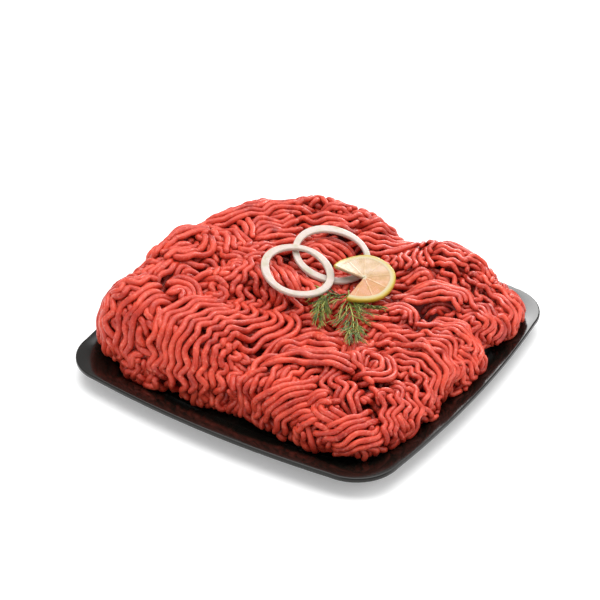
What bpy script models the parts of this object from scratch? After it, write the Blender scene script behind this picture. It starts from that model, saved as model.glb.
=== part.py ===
"""A square tray of minced meat, dressed with two onion rings, a slice of lemon and a sprig of dill.

Lengths are in metres and angles in degrees. +Z is up, the tray's sides run along X and Y, and the
origin is the middle of the tray's underside. The heap of mince is one solid out to its lobed outline.
"""

import math

import bmesh
import bpy
import numpy as np
from mathutils import Vector
from mathutils.bvhtree import BVHTree

MM = 0.001

# Tray: a moulded square dish with a flat floor, a flared side and a thick rounded lip.
TRAY_SIDE = 300 * MM
TRAY_HEIGHT = 19 * MM
TRAY_WALL = 4 * MM
SIDE_BOW = 6.8 * MM
LIP_CORNER = 38 * MM
FLOOR_CORNER = 30 * MM
FLARE_WIDTH = 34 * MM
FLARE_STEPS = 7
FLARE_CURVE = 1.5
LIP_ROUNDING = 1.8 * MM

# Heap: lobes of mince pressed together. Each is its middle (x, y), half length along X, half width
# along Y and the height of its top, in millimetres.
LOBES = {
    "left corner": (-99, -81, 45, 45, 74),
    "left fold": (-108, -42, 38, 28, 77),
    "left": (-113, -6, 36, 28, 78),
    "left rise": (-107, 30, 38, 27, 75),
    "left back": (-86, 64, 43, 34, 72),
    "left middle": (-70, 0, 36, 62, 72),
    "back left": (-52, 99, 37, 33, 70),
    "back": (-16, 100, 34, 34, 70),
    "front left": (-45, -84, 48, 44, 64),
    "middle": (-24, 20, 46, 50, 59),
    "middle left": (-36, 50, 30, 36, 68),
    "middle front": (-34, -4, 31, 30, 69),
    "middle near": (5, -6, 25, 24, 56),
    "saddle": (10, -42, 36, 30, 47),
    "front middle": (33, -86, 44, 43, 56),
    "front ridge": (62, -50, 34, 32, 56),
    "near corner": (94, -87, 44, 40, 49),
    "right near": (107, -46, 34, 26, 52),
    "right": (107, -6, 38, 25, 56),
    "middle right": (38, 30, 52, 50, 53),
    "right middle": (107, 32, 38, 24, 56),
    "right far": (111, 68, 36, 24, 55),
    "far corner": (107, 101, 33, 28, 52),
    "back right": (36, 100, 26, 33, 61),
    "back corner": (60, 104, 32, 31, 66),
    "back shoulder": (88, 104, 28, 30, 62),
}
LOBE_SQUARENESS = 2.4
LOBE_SHOULDER = 2.8
LOBE_BELLY = 0.35
LOBE_BLEND = 7.0
HEAP_REACH = 134 * MM
HEAP_SQUARENESS = 6
HEAP_CENTRE = 28 * MM
HEAP_SEGMENTS = 92
UNDERSIDE_RINGS = 7
UNDERSIDE_SPACING = 0.6
SIDE_RINGS = 8
TOP_RINGS = 15
VALLEY_SOFTENING = 3
REACH_SEARCH = (0.2, 1.6, 141)
REACH_HALVINGS = 12
MEAT_LIFT = 0.6 * MM

# Onion rings: a place is the middle of the ring, and a lean is the compass direction that its upper face
# looks towards and how far it is tipped.
ONION_WALL = 5.4 * MM
ONION_THICKNESS = 4.4 * MM
ONION_OVAL = 0.02
ONION_ROUNDING = 0.6
ONION_PROFILE_POINTS = 8
ONION_STEPS = 32
BACK_RING_RADIUS = 33.3 * MM
BACK_RING_PLACE = (-10.5 * MM, 46 * MM, 65 * MM)
BACK_RING_LEAN = (-23.0, 16.0)
FRONT_RING_RADIUS = 30.6 * MM
FRONT_RING_PLACE = (-17.5 * MM, 5 * MM, 68 * MM)
FRONT_RING_LEAN = (-13.0, 16.0)

# Lemon: a flap is the part of the turn that bends, and how far it bends, beside each side of the cut.
LEMON_RADIUS = 26 * MM
LEMON_THICKNESS = 4 * MM
LEMON_CUT = 70.0
LEMON_CUT_DIRECTION = 232.0
LEMON_PLACE = (30.5 * MM, 31.5 * MM, 64 * MM)
LEMON_LEAN = (-62.0, 14.0)
LEMON_EYE = 0.06
LEMON_SPOKES = 30
LEMON_RINGS = 5
RAISED_FLAP = (0.25, 0.3)
LOWERED_FLAP = (0.2, 0.08)

# Dill.
DILL_ROOT = (22 * MM, 21 * MM)
DILL_DIRECTION = -58.0
DILL_LENGTH = 62 * MM
DILL_STALK = 2.2 * MM
DILL_BRANCH = 1.8 * MM
DILL_NEEDLE = 1.3 * MM
DILL_THICKNESS = 1.6 * MM
DILL_BEND_STEP = 9 * MM
DILL_LIFT = 1.2 * MM
RESTING_GAP = 0.5 * MM


def clear_scene():
    for obj in list(bpy.data.objects):
        bpy.data.objects.remove(obj, do_unlink=True)


def material(name, colour, roughness):
    made = bpy.data.materials.new(name)
    made.use_nodes = True
    shader = made.node_tree.nodes["Principled BSDF"]
    shader.inputs["Base Color"].default_value = (*colour, 1.0)
    shader.inputs["Roughness"].default_value = roughness
    shader.inputs["Metallic"].default_value = 0.0
    return made


def add_object(name, mesh, collection, finish):
    obj = bpy.data.objects.new(name, mesh)
    obj.data.materials.append(finish)
    collection.objects.link(obj)
    return obj


def mesh_from(name, points, faces):
    mesh = bpy.data.meshes.new(name)
    mesh.from_pydata([tuple(point) for point in points], [], faces)
    mesh.update()
    return mesh


def shade_round(obj, angle=40):
    obj.data.shade_smooth()
    obj.data.set_sharp_from_angle(angle=math.radians(angle))


def rounded_square(half, corner, bow, side_steps=5, corner_steps=7):
    """Points round a square whose corners are arcs and whose sides bow outwards, anticlockwise from +X."""
    straight = half - corner
    quarter = []
    for step in range(side_steps):
        along = straight * (2 * step / side_steps - 1)
        quarter.append((half + bow * (1 - (along / straight) ** 2), along))
    for step in range(corner_steps + 1):
        turn = math.radians(90 * step / corner_steps)
        quarter.append((straight + corner * math.cos(turn), straight + corner * math.sin(turn)))
    quarter.pop()
    points = []
    for quadrant in range(4):
        turn = math.radians(90 * quadrant)
        for x, y in quarter:
            points.append((x * math.cos(turn) - y * math.sin(turn), x * math.sin(turn) + y * math.cos(turn)))
    return points


def loft(rings):
    """The quads between each ring of points and the next, for rings with the same number of points."""
    count = len(rings[0])
    faces = []
    for level in range(len(rings) - 1):
        for step in range(count):
            after = (step + 1) % count
            low = level * count
            high = low + count
            faces.append((low + step, low + after, high + after, high + step))
    return faces


def tray(collection):
    """The upper face as a loft of rounded squares, thickened downwards, with its lip rounded off."""
    rings = []
    rise = TRAY_HEIGHT - TRAY_WALL
    for step in range(FLARE_STEPS, -1, -1):
        part = step / FLARE_STEPS
        half = TRAY_SIDE / 2 - FLARE_WIDTH * (1 - part)
        corner = FLOOR_CORNER + (LIP_CORNER - FLOOR_CORNER) * part
        height = TRAY_WALL + rise * math.sin(part * math.pi / 2) ** FLARE_CURVE
        outline = rounded_square(half, corner, SIDE_BOW * half / (TRAY_SIDE / 2))
        rings.append([(x, y, height) for x, y in outline])
    points = [point for ring in rings for point in ring]
    faces = loft(rings)
    faces.append(tuple(range(len(points) - len(rings[0]), len(points))))
    mesh = mesh_from("tray", points, faces)
    obj = add_object("tray", mesh, collection, material("black melamine", (0.012, 0.011, 0.009), 0.2))
    thicken = obj.modifiers.new("thickness", "SOLIDIFY")
    thicken.thickness = TRAY_WALL
    thicken.offset = -1
    thicken.use_even_offset = True
    soften = obj.modifiers.new("rounded lip", "BEVEL")
    soften.width = LIP_ROUNDING
    soften.segments = 2
    soften.limit_method = "ANGLE"
    soften.angle_limit = math.radians(60)
    shade_round(obj)
    return obj


def surface_of(obj):
    """A search tree of the object's evaluated mesh, and its corners and face middles, in world space."""
    graph = bpy.context.evaluated_depsgraph_get()
    evaluated = obj.evaluated_get(graph)
    mesh = evaluated.to_mesh()
    corners = [evaluated.matrix_world @ vertex.co for vertex in mesh.vertices]
    middles = [evaluated.matrix_world @ polygon.center for polygon in mesh.polygons]
    faces = [tuple(polygon.vertices) for polygon in mesh.polygons]
    evaluated.to_mesh_clear()
    return BVHTree.FromPolygons(corners, faces), corners + middles


def lobe_field(points):
    """Over 1 inside the heap's lobes and under 1 outside them, for points as rows of x, y, z."""
    total = np.zeros(len(points))
    floor = TRAY_WALL / MM
    for x, y, half_length, half_width, top in LOBES.values():
        belly = floor + LOBE_BELLY * (top - floor)
        across = np.abs(points[:, 0] / MM - x) / half_length
        along = np.abs(points[:, 1] / MM - y) / half_width
        plan = (across**LOBE_SQUARENESS + along**LOBE_SQUARENESS) ** (1 / LOBE_SQUARENESS)
        above = np.abs(points[:, 2] / MM - belly) / (top - belly)
        closeness = plan**LOBE_SHOULDER + above**LOBE_SHOULDER
        total += np.maximum(closeness, 1e-3) ** -LOBE_BLEND
    return total


def outermost(start, aim):
    """How far the heap reaches from start along each row of aim, as a multiple of that row."""
    steps = np.linspace(*REACH_SEARCH)
    reach = np.zeros(len(aim))
    for step in steps:
        inside = lobe_field(start + aim * step) > 1
        reach[inside] = step
    low = reach
    high = reach + (steps[1] - steps[0])
    for _ in range(REACH_HALVINGS):
        middle = (low + high) / 2
        inside = lobe_field(start + aim * middle[:, None]) > 1
        low = np.where(inside, middle, low)
        high = np.where(inside, high, middle)
    return low


def evened(reach):
    """Each ray's reach blended with its four neighbours', so that the lobes meet in soft valleys."""
    rings = reach[:-2].reshape(-1, HEAP_SEGMENTS)
    for _ in range(VALLEY_SOFTENING):
        padded = np.vstack([rings[:1], rings, rings[-1:]])
        around = np.roll(rings, 1, axis=1) + np.roll(rings, -1, axis=1)
        rings = rings / 2 + (padded[:-2] + padded[2:] + around) / 8
    return np.concatenate([rings.ravel(), reach[-2:]])


def heap_aims():
    """Points over a plain slab of the heap's size, as rings from the middle of its base to its top."""
    top = max(lobe[4] for lobe in LOBES.values()) * MM
    profile = []
    for ring in range(1, UNDERSIDE_RINGS):
        profile.append(((ring / UNDERSIDE_RINGS) ** UNDERSIDE_SPACING, TRAY_WALL))
    for ring in range(SIDE_RINGS):
        profile.append((1.0, TRAY_WALL + (top - TRAY_WALL) * ring / SIDE_RINGS))
    for ring in range(TOP_RINGS):
        profile.append((1.0 - ring / TOP_RINGS, top))
    outline = []
    for step in range(HEAP_SEGMENTS):
        turn = 2 * math.pi * step / HEAP_SEGMENTS
        spread = abs(math.cos(turn)) ** HEAP_SQUARENESS + abs(math.sin(turn)) ** HEAP_SQUARENESS
        stretch = spread ** (-1 / HEAP_SQUARENESS)
        outline.append((HEAP_REACH * stretch * math.cos(turn), HEAP_REACH * stretch * math.sin(turn)))
    return [[(x * reach, y * reach, height) for x, y in outline] for reach, height in profile]


def mince_heap(collection, dish):
    """The lobes' shared outer surface, reached by rays from a point inside, and seated on the tray."""
    rings = heap_aims()
    start = np.array([0.0, 0.0, HEAP_CENTRE])
    ends = [(0.0, 0.0, TRAY_WALL), (0.0, 0.0, rings[-1][0][2])]
    aims = np.array([point for ring in rings for point in ring] + ends) - start
    points = start + aims * evened(outermost(start, aims))[:, None]
    dish_surface, _ = surface_of(dish)
    for index, point in enumerate(points):
        seat, *_ = dish_surface.ray_cast(Vector((point[0], point[1], 1.0)), Vector((0, 0, -1)))
        way, *_ = dish_surface.ray_cast(Vector(start), Vector(aims[index]))
        if way is not None and (Vector(start) - way).length < np.linalg.norm(point - start):
            points[index] = way
            points[index][2] += MEAT_LIFT
        elif seat is not None:
            points[index][2] = max(point[2], seat.z + MEAT_LIFT)
    faces = loft(rings)
    count = HEAP_SEGMENTS
    base = len(points) - 2
    last = (len(rings) - 1) * count
    for step in range(count):
        after = (step + 1) % count
        faces.append((base, after, step))
        faces.append((base + 1, last + step, last + after))
    mesh = mesh_from("mince_heap", points, faces)
    obj = add_object("mince_heap", mesh, collection, material("minced meat", (0.62, 0.09, 0.06), 0.45))
    shade_round(obj, 60)
    return obj


def rest_on(obj, supports, gap=RESTING_GAP):
    """Lets the object down, or lifts it, until its nearest point is one gap above what it lies on."""
    own_surface, own_points = surface_of(obj)
    clearances = []
    for support in supports:
        surface, points = surface_of(support)
        for point in own_points:
            hit, *_ = surface.ray_cast(Vector((point.x, point.y, -1)), Vector((0, 0, 1)))
            under = None
            while hit is not None:
                under = hit.z
                hit, *_ = surface.ray_cast(hit + Vector((0, 0, 1e-5)), Vector((0, 0, 1)))
            if under is not None:
                clearances.append(point.z - under)
        for point in points:
            hit, *_ = own_surface.ray_cast(Vector((point.x, point.y, -1)), Vector((0, 0, 1)))
            if hit is not None:
                clearances.append(hit.z - point.z)
    obj.location.z += gap - min(clearances)
    bpy.context.view_layer.update()


def lean(obj, toward, angle):
    """Tips a flat piece so that its upper face leans towards a compass direction in the XY plane."""
    direction = Vector((math.cos(math.radians(toward)), math.sin(math.radians(toward)), 0))
    axis = Vector((0, 0, 1)).cross(direction)
    obj.rotation_mode = "QUATERNION"
    obj.rotation_quaternion = (math.cos(math.radians(angle) / 2), *(axis * math.sin(math.radians(angle) / 2)))
    bpy.context.view_layer.update()


def onion_ring(name, collection, finish, radius, place, leaning):
    """One layer of an onion slice: a rounded rectangle turned about the ring's axis."""
    half_wall = ONION_WALL / 2
    half_height = ONION_THICKNESS / 2
    middle = radius - half_wall
    profile = []
    for step in range(ONION_PROFILE_POINTS):
        turn = math.radians(90 - 360 * (step + 0.5) / ONION_PROFILE_POINTS)
        across = math.copysign(abs(math.cos(turn)) ** ONION_ROUNDING, math.cos(turn))
        upright = math.copysign(abs(math.sin(turn)) ** ONION_ROUNDING, math.sin(turn))
        profile.append((middle + half_wall * across, 0.0, half_height * upright))
    mesh = bpy.data.meshes.new(name)
    edges = [(step, (step + 1) % len(profile)) for step in range(len(profile))]
    mesh.from_pydata(profile, edges, [])
    obj = add_object(name, mesh, collection, finish)
    turned = obj.modifiers.new("turned", "SCREW")
    turned.angle = math.radians(360)
    turned.steps = ONION_STEPS
    turned.render_steps = ONION_STEPS
    turned.use_merge_vertices = True
    turned.merge_threshold = 0.00001
    turned.use_smooth_shade = True
    obj.scale = (1 + ONION_OVAL, 1 - ONION_OVAL, 1)
    obj.location = place
    lean(obj, *leaning)
    return obj


def lemon_slice(collection):
    """A disc cut once from its middle to its rind, with one end of the cut raised and the other sunk."""
    points = []
    for spoke in range(LEMON_SPOKES + 1):
        part = spoke / LEMON_SPOKES
        turn = math.radians(LEMON_CUT_DIRECTION + LEMON_CUT / 2 + (360 - LEMON_CUT) * part)
        curl = RAISED_FLAP[1] * max(0.0, 1 - (1 - part) / RAISED_FLAP[0]) ** 2
        curl -= LOWERED_FLAP[1] * max(0.0, 1 - part / LOWERED_FLAP[0]) ** 2
        for ring in range(LEMON_RINGS + 1):
            reach = LEMON_RADIUS * (LEMON_EYE + (1 - LEMON_EYE) * ring / LEMON_RINGS)
            points.append((reach * math.cos(turn), reach * math.sin(turn), reach * curl))
    faces = []
    for spoke in range(LEMON_SPOKES):
        for ring in range(LEMON_RINGS):
            corner = spoke * (LEMON_RINGS + 1) + ring
            across = corner + LEMON_RINGS + 1
            faces.append((corner, corner + 1, across + 1, across))
    mesh = mesh_from("lemon_slice", points, faces)
    obj = add_object("lemon_slice", mesh, collection, material("lemon", (0.86, 0.72, 0.24), 0.35))
    thicken = obj.modifiers.new("thickness", "SOLIDIFY")
    thicken.thickness = LEMON_THICKNESS
    thicken.offset = 0
    obj.location = LEMON_PLACE
    lean(obj, *LEMON_LEAN)
    shade_round(obj)
    return obj


def shoots_along(first, last, count, angle, length):
    """Needles in pairs along a stalk, the ones nearer its tip a little shorter."""
    shoots = []
    for step in range(count):
        part = first + (last - first) * step / (count - 1)
        for side in (-1, 1):
            shoots.append((part, side, angle, length * (1.15 - 0.4 * part), DILL_NEEDLE, ()))
    return shoots


def twig(start, direction, length, width, shoots):
    """The outline of a pointed stalk and its shoots, out along its right side and back along its left.

    A shoot is (part of the stalk's length, side, angle, its length, its width, its own shoots).
    """
    heading = Vector((math.cos(math.radians(direction)), math.sin(math.radians(direction))))
    left = Vector((-heading.y, heading.x))

    def shoots_on(wanted):
        """The outlines of the shoots on one side, in the order in which the outline meets them."""
        chosen = [shoot for shoot in shoots if shoot[1] == wanted]
        ordered = sorted(chosen, key=lambda shoot: -wanted * shoot[0])
        points = []
        for part, side, angle, reach, thick, own in ordered:
            foot = start + heading * length * part + left * side * width / 2
            points.extend(twig(foot, direction + side * angle, reach, thick, own))
        return points

    def edge(side):
        """Points part of the way along one side of a long plain shoot, so that it can bend over the meat."""
        steps = math.ceil(length / DILL_BEND_STEP)
        order = range(1, steps) if side < 0 else range(steps - 1, 0, -1)
        points = []
        for step in order:
            part = step / steps
            points.append(start + heading * length * part + left * side * width / 2 * (1 - part))
        return points

    outline = [start - left * width / 2]
    outline.extend(shoots_on(-1) if shoots else edge(-1))
    outline.append(start + heading * length)
    outline.extend(shoots_on(1) if shoots else edge(1))
    outline.append(start + left * width / 2)
    return outline


def dill_sprig(collection, heap):
    """Two feathered fronds and a thin side branch from one stalk, flat as cut and laid over the heap."""
    left_tip = shoots_along(0.15, 0.85, 5, 32, 8 * MM)
    left_frond = shoots_along(0.3, 0.6, 2, 40, 6 * MM)
    left_frond.append((0.8, 1, 58, 27 * MM, DILL_BRANCH, left_tip))
    shoots = shoots_along(0.3, 0.9, 7, 27, 17 * MM)
    shoots.append((0.06, -1, 72, 20 * MM, DILL_BRANCH, left_frond))
    shoots.append((0.1, 1, 50, 33 * MM, DILL_NEEDLE, ()))
    outline = twig(Vector(DILL_ROOT), DILL_DIRECTION, DILL_LENGTH, DILL_STALK, shoots)
    curve = bpy.data.curves.new("dill_outline", "CURVE")
    curve.dimensions = "2D"
    curve.fill_mode = "BOTH"
    curve.extrude = DILL_THICKNESS / 2
    spline = curve.splines.new("POLY")
    spline.points.add(len(outline) - 1)
    for point, place in zip(spline.points, outline):
        point.co = (place.x, place.y, 0, 1)
    spline.use_cyclic_u = True
    flat = bpy.data.objects.new("dill_outline", curve)
    collection.objects.link(flat)
    bpy.context.view_layer.update()
    graph = bpy.context.evaluated_depsgraph_get()
    mesh = bpy.data.meshes.new_from_object(flat.evaluated_get(graph))
    bpy.data.objects.remove(flat, do_unlink=True)
    heap_surface, _ = surface_of(heap)
    shape = bmesh.new()
    shape.from_mesh(mesh)
    bmesh.ops.remove_doubles(shape, verts=shape.verts, dist=0.00001)
    for vertex in shape.verts:
        seat, *_ = heap_surface.ray_cast(Vector((vertex.co.x, vertex.co.y, 1)), Vector((0, 0, -1)))
        vertex.co.z += seat.z + DILL_THICKNESS / 2 + DILL_LIFT
    bmesh.ops.recalc_face_normals(shape, faces=shape.faces)
    shape.to_mesh(mesh)
    shape.free()
    mesh.materials.clear()
    return add_object("dill_sprig", mesh, collection, material("dill", (0.13, 0.24, 0.05), 0.6))


def main():
    clear_scene()
    collection = bpy.data.collections.new("meat_tray_pack")
    bpy.context.scene.collection.children.link(collection)
    dish = tray(collection)
    heap = mince_heap(collection, dish)
    onion = material("raw onion", (0.85, 0.82, 0.72), 0.3)
    back = onion_ring("onion_ring_back", collection, onion, BACK_RING_RADIUS, BACK_RING_PLACE, BACK_RING_LEAN)
    rest_on(back, [heap])
    front = onion_ring(
        "onion_ring_front", collection, onion, FRONT_RING_RADIUS, FRONT_RING_PLACE, FRONT_RING_LEAN
    )
    rest_on(front, [heap, back])
    sprig = dill_sprig(collection, heap)
    lemon = lemon_slice(collection)
    rest_on(lemon, [heap, back, front, sprig])


main()
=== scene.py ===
"""A square black tray of minced meat, dressed with onion rings, a slice of lemon and a sprig of dill.

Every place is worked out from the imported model. The mince is laid in millimetres, strand by strand, just
inside the outline of the solid heap, and turned to metres when its meshes are made.
"""

import math

import bmesh
import bpy
import numpy as np
from mathutils import Matrix, Vector, noise
from mathutils.bvhtree import BVHTree


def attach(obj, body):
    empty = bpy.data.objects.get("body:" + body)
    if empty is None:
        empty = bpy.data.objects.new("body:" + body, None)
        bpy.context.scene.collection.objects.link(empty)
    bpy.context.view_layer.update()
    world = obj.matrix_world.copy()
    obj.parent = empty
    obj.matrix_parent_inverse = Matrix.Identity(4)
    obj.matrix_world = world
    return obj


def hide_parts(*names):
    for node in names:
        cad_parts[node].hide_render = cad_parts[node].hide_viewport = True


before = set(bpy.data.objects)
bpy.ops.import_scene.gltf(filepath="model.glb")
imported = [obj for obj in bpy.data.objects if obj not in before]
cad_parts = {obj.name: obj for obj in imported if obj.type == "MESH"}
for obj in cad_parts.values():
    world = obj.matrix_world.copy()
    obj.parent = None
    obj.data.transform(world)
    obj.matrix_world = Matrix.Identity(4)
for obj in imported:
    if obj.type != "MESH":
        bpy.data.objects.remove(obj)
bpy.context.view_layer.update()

MM = 0.001

# The mince: strands as a 4.5 mm plate leaves them, laid in ribbons of side-by-side strands.
STRAND = 4.9
STRAND_STEP = 1.9
STRAND_SIDES = 7
DEPTH_STEP = 0.5
DEPTHS = 64
LEVEL_DROP = 3.4
PROUD = 3.8
SPACING = 1.12
SWELL = 2.0
RIDGE_DROP = 1.4
RIDGE_MOST = 10.0
RIDGE_STEP = 2.2
VALLEY = 6.0
HIGHEST = 77.8
DEEPEST = 13.0
LIFT = 1.0
SUNK = 0.2
CORRUGATION = 0.35
UNDERPASS = 9.0
LUMP = 3.6
LUMP_WIDTH = 18.0
FRINGE = 3.0
FRINGE_WIDTH = 7.0
DIVE = 11.0
DIVE_LENGTH = 9.0
LOOSE_ENDS = 0.45
# Painted shade: how much a strand's tone drops for each millimetre it lies under the top of the mince.
PAINTED_DEPTH_SHADE = 0.035
CORE_DROP = 20.0
MOST_TRIANGLES = 180000
MINCE_SEED = 7

# A strand's depth: what it costs to run into another strand, and to change depth from one point to the next.
BLOCKED_COST = 60.0
MOVE_COST = 0.35
MOST_MOVE = 4

# A place counts as covered by a strand so near beside it, and no more than so far above it.
COVER_REACH = 3.4
COVER_ABOVE = 4
COVER_MARGIN = 15
MOST_FILLED = 120

# Settling: how near a pair is looked at and kept, and how much of each fault one round mends.
SETTLE_ROUNDS = 36
PAIR_REACH = 1.4
CLOSENESS = 0.49
PUSH = 1.3
STIFFNESS = 0.35
PULL = 0.25
HOMING = 0.015

# A strand's rounded end, in parts of its radius.
END_REACH = 0.55
END_SIZE = 0.6
NECK_SIZE = 0.93
TIP_REACH = 0.85

# A ribbon is how far down it lies (0 is on top, and less stands proud), how many strands it has, how far they
# wave from side to side and how long a wave is, and the places that its middle runs through. A place on top
# of the heap needs no height. The first ribbons lie outermost.
RIBBONS = {
    "curtain": (-0.6, 11, 3.0, 17, [
        (-35, -25), (-27, -45), (-26, -62), (-36, -77), (-42, -94, 60), (-40, -110, 50), (-37, -122, 32),
        (-36, -126, 12),
    ]),
    "valley strand": (-0.4, 3, 1.1, 27, [(14, -74), (3, -92, 48), (4, -112, 38), (2, -124, 14)]),
    "crossing": (-0.8, 4, 1.4, 16, [(-84, -114, 50), (-70, -114, 52), (-54, -108, 58), (-46, -100, 60)]),
    "forked": (-0.7, 3, 1.7, 18, [(-106, 2), (-99, -16), (-104, -32), (-118, -44)]),
    "small arch": (-0.6, 4, 0.8, 18, [(-92, -76), (-84, -64), (-74, -62), (-66, -74)]),
    "long reach": (-0.8, 4, 1.7, 31, [(8, -90), (22, -86), (36, -76), (50, -69), (66, -62), (80, -56)]),
    "turned loop": (-0.7, 4, 0.5, 18, [(76, -40), (90, -38), (100, -50), (92, -62), (80, -70)]),
    "long sweep": (-0.6, 5, 1.1, 27, [(56, 36), (68, 54), (86, 67), (104, 68), (116, 58)]),
    "back ridge": (-1.0, 6, 2.2, 32, [(-134, 24), (-118, 48), (-104, 74), (-84, 96), (-60, 112)]),
    "left ridge": (-0.8, 5, 2.0, 23, [(-136, -40), (-130, -16), (-120, 6), (-112, 22)]),
    "hanging bundle": (-0.3, 6, 2.8, 23, [
        (-78, -74), (-88, -92, 68), (-92, -110, 52), (-89, -120, 30), (-91, -123, 12),
    ]),
    "corner fringe": (-0.4, 6, 3.0, 18, [
        (-100, -78), (-114, -92), (-121, -106, 58), (-118, -116, 38), (-114, -120, 18),
    ]),
    "outer fringe": (-0.2, 4, 2.8, 22, [(-122, -74), (-132, -92, 60), (-134, -104, 42), (-128, -112, 20)]),
    "hairpin": (0.1, 3, 0.4, 18, [
        (-116, -118, 12), (-118, -116, 34), (-107, -119, 42), (-99, -122, 30), (-98, -124, 12),
    ]),
    "second hang": (0.4, 5, 2.9, 20, [(-68, -86), (-72, -104, 58), (-72, -118, 38), (-69, -124, 14)]),
    "combed arcs": (-0.3, 6, 1.1, 23, [(-118, 8), (-104, 12), (-88, 8), (-76, -2)]),
    "combed short": (-0.2, 7, 0.8, 18, [(-112, 38), (-100, 24), (-88, 12)]),
    "left rows": (0.1, 7, 2.5, 22, [(-96, -22), (-106, -42), (-112, -58), (-112, -78), (-116, -92, 64)]),
    "left sheaf": (0.0, 8, 1.7, 25, [(-62, -24), (-76, -44), (-80, -60), (-78, -78)]),
    "back left rows": (-0.2, 9, 1.4, 23, [(-62, 78), (-80, 62), (-92, 46), (-100, 30)]),
    "middle rows": (0.2, 8, 1.4, 22, [(-46, 62), (-62, 44), (-74, 26), (-84, 8), (-86, -6)]),
    "ring rows": (0.1, 7, 1.7, 20, [(-60, 6), (-42, 0), (-26, -10), (-12, -22)]),
    "ring arcs": (0.3, 6, 1.1, 22, [(-42, 30), (-32, 50), (-16, 60), (0, 56)]),
    "back rows": (-0.5, 8, 2.5, 18, [(-76, 86), (-56, 92), (-36, 102), (-16, 112)]),
    "back corner rows": (-0.2, 10, 1.4, 25, [(-30, 78), (-14, 92), (0, 104), (10, 116, 58), (14, 124, 40)]),
    "rows by the lemon": (-0.2, 7, 2.2, 16, [(10, 104), (26, 100), (40, 88), (46, 74)]),
    "bulge nearest": (-0.5, 6, 2.2, 18, [
        (104, -60), (120, -60), (133, -72, 42), (142, -86, 24), (140, -94, 12),
    ]),
    "bulge near": (-0.4, 7, 2.4, 18, [(88, -38), (106, -28), (122, -30), (135, -44, 38), (140, -58, 20)]),
    "bulge middle": (-0.6, 7, 2.4, 18, [
        (94, -10), (116, -3), (133, -8, 48), (143, -22, 34), (143, -34, 16),
    ]),
    "bulge far": (-0.5, 8, 2.4, 18, [
        (92, 10), (110, 22), (126, 24), (141, 14, 44), (146, 2, 24), (143, -6, 12),
    ]),
    "bulge farther": (-0.4, 8, 2.7, 18, [(98, 52), (116, 60), (132, 58), (143, 46, 40), (144, 36, 18)]),
    "bulge farthest": (-0.4, 7, 2.7, 18, [(104, 90), (120, 90), (134, 84), (144, 74, 38), (142, 64, 18)]),
    "front corner arcs": (-0.3, 6, 1.0, 27, [
        (130, -90, 44), (118, -108, 36), (100, -122, 26), (84, -128, 14),
    ]),
    "front corner hang": (0.2, 5, 1.4, 18, [(118, -80), (130, -96, 40), (136, -104, 20)]),
    "diagonal bundle": (-0.4, 8, 1.0, 27, [(80, -100), (66, -114, 48), (52, -124, 32), (47, -127, 12)]),
    "diagonal next": (-0.2, 6, 1.3, 23, [(92, -102), (84, -116, 42), (73, -126, 26), (70, -128, 10)]),
    "zigzag": (-0.1, 6, 3.0, 20, [(70, -60), (74, -76), (84, -90), (94, -104), (98, -118, 36)]),
    "second loop": (0.0, 4, 0.5, 18, [(100, -96), (94, -84), (104, -73), (120, -70)]),
    "hole rim": (0.1, 3, 0.5, 18, [(52, -106), (58, -96), (72, -98), (80, -92)]),
    "front verticals": (-0.2, 5, 2.2, 22, [(10, -98, 54), (10, -114, 44), (14, -122, 28), (15, -126, 10)]),
    "front hang": (0.1, 5, 2.5, 20, [(26, -92), (28, -108, 48), (24, -120, 32), (24, -126, 12)]),
    "front hang right": (0.2, 4, 2.0, 22, [(44, -94), (40, -110, 46), (34, -122, 30), (34, -126, 12)]),
    "front rows": (-0.1, 7, 2.5, 23, [(-6, -76), (6, -60), (24, -46), (42, -40), (56, -34)]),
    "right rows": (0.0, 5, 1.7, 22, [(74, -20), (88, -12), (102, -13), (116, -16)]),
    "right reach": (-0.3, 4, 1.4, 25, [(70, -6), (86, 0), (98, 0), (106, 12), (114, 26)]),
    "right arch": (0.0, 4, 0.5, 18, [(84, -36), (93, -26), (104, -32), (102, -46)]),
    "far rows": (-0.5, 6, 2.5, 16, [(34, 112), (52, 106), (72, 110), (92, 112)]),
    "far zigzag": (-0.2, 6, 2.9, 16, [(74, 98), (92, 94), (106, 84), (114, 72)]),
    "far arches": (0.0, 5, 0.7, 18, [(48, 62), (56, 78), (70, 80), (76, 66)]),
    "falling bundle": (0.5, 5, 1.1, 22, [(56, 88), (51, 74), (46, 60)]),
    "inner arcs": (0.3, 4, 0.7, 18, [(84, 38), (92, 52), (104, 52), (110, 40)]),
    "hanging combs": (0.2, 8, 1.4, 22, [(102, 50), (118, 40), (134, 28), (143, 20, 36), (144, 14, 16)]),
    "small loops": (-0.2, 3, 0.5, 18, [(60, 14), (66, 28), (78, 27), (80, 14)]),
    "by the dill": (0.0, 3, 2.2, 14, [(42, -12), (41, -28), (34, -42), (26, -54)]),
    "valley hang": (0.6, 4, 1.7, 18, [(4, -100, 42), (5, -118, 30), (1, -126, 12)]),
}

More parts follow.
